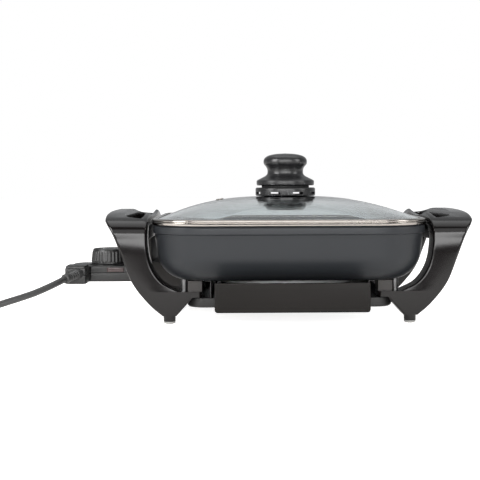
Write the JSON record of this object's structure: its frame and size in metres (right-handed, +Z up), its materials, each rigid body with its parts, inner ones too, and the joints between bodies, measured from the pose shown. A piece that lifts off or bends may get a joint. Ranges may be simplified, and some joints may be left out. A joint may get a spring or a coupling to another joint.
{
  "type": "electric hot pot",
  "caption": "Square electric hot pot with a domed glass lid, two arched side handles, a pull-out drip tray and a plug-in heat control.",
  "frame": {"origin": "centre of the object's footprint without its lead, on the table", "axes": "-Y is the front with the tray, +X the object's right side as seen from the front, +Z up"},
  "size_m": [0.6384, 0.3252, 0.1825],
  "materials": {
    "pan_coat": "satin",
    "casting": "brushed",
    "element_sheath": "matte",
    "bright_steel": "polished",
    "guard_plastic": "matte",
    "handle_plastic": "gloss",
    "plate_paint": "satin",
    "screw_steel": "satin",
    "pale_rubber": "matte",
    "tray_paint": "satin",
    "glass": "polished",
    "stainless": "polished",
    "knob_plastic": "gloss",
    "black_rubber": "matte",
    "grey_rubber": "matte",
    "control_plastic": "satin",
    "red_lens": "gloss",
    "switch_plastic": "matte",
    "brass": "satin",
    "cord_sheath": "satin",
    "plug_plastic": "satin"
  },
  "bodies": {
    "base": {"pan": "pan_coat", "heater_casting": "casting", "heating_element": "element_sheath", "terminal_pins": "bright_steel", "terminal_guard": "guard_plastic", "left_handle": "handle_plastic", "right_handle": "handle_plastic", "mounting_posts": "casting", "spacer_blocks": "guard_plastic", "base_plate": "plate_paint", "tray_housing": "plate_paint", "base_screws": "screw_steel", "feet": "handle_plastic", "foot_pads": "pale_rubber"},
    "lid": {"lid_glass": "glass", "lid_rim": "stainless", "steam_eyelet": "stainless", "vent_ring": "knob_plastic", "knob_collar": "black_rubber", "knob": "knob_plastic", "glass_seal": "grey_rubber", "retaining_disc": "guard_plastic", "knob_screw": "screw_steel"},
    "control": {"control_base": "control_plastic", "control_cover": "control_plastic", "dial_bezel": "stainless", "indicator_lens": "red_lens", "thermostat_switch": "switch_plastic", "probe_rod": "bright_steel", "contact_sleeves": "brass", "strain_relief": "cord_sheath", "cord_free": "cord_sheath", "cord_coil": "cord_sheath", "plug_body": "plug_plastic", "plug_blades": "brass"},
    "dial": {"temperature_dial": "control_plastic", "dial_spindle": "screw_steel"},
    "tray": {"drip_tray": "tray_paint"}
  },
  "joints": [
    {"name": "lid_lift", "type": "slide", "parent": "base", "child": "lid", "axis": [0, 0, 1], "range_m": [0, 0.15]},
    {"name": "control_pull", "type": "slide", "parent": "base", "child": "control", "axis": [-1, 0, 0], "range_m": [0, 0.085]},
    {"name": "dial_turn", "type": "hinge", "parent": "control", "child": "dial", "pos_m": [-0.17575, 0.0075, 0.07], "axis": [0, 0, -1], "range_deg": [0, 270]},
    {"name": "tray_slide", "type": "slide", "parent": "base", "child": "tray", "axis": [0, -1, 0], "range_m": [0, 0.15]}
  ]
}
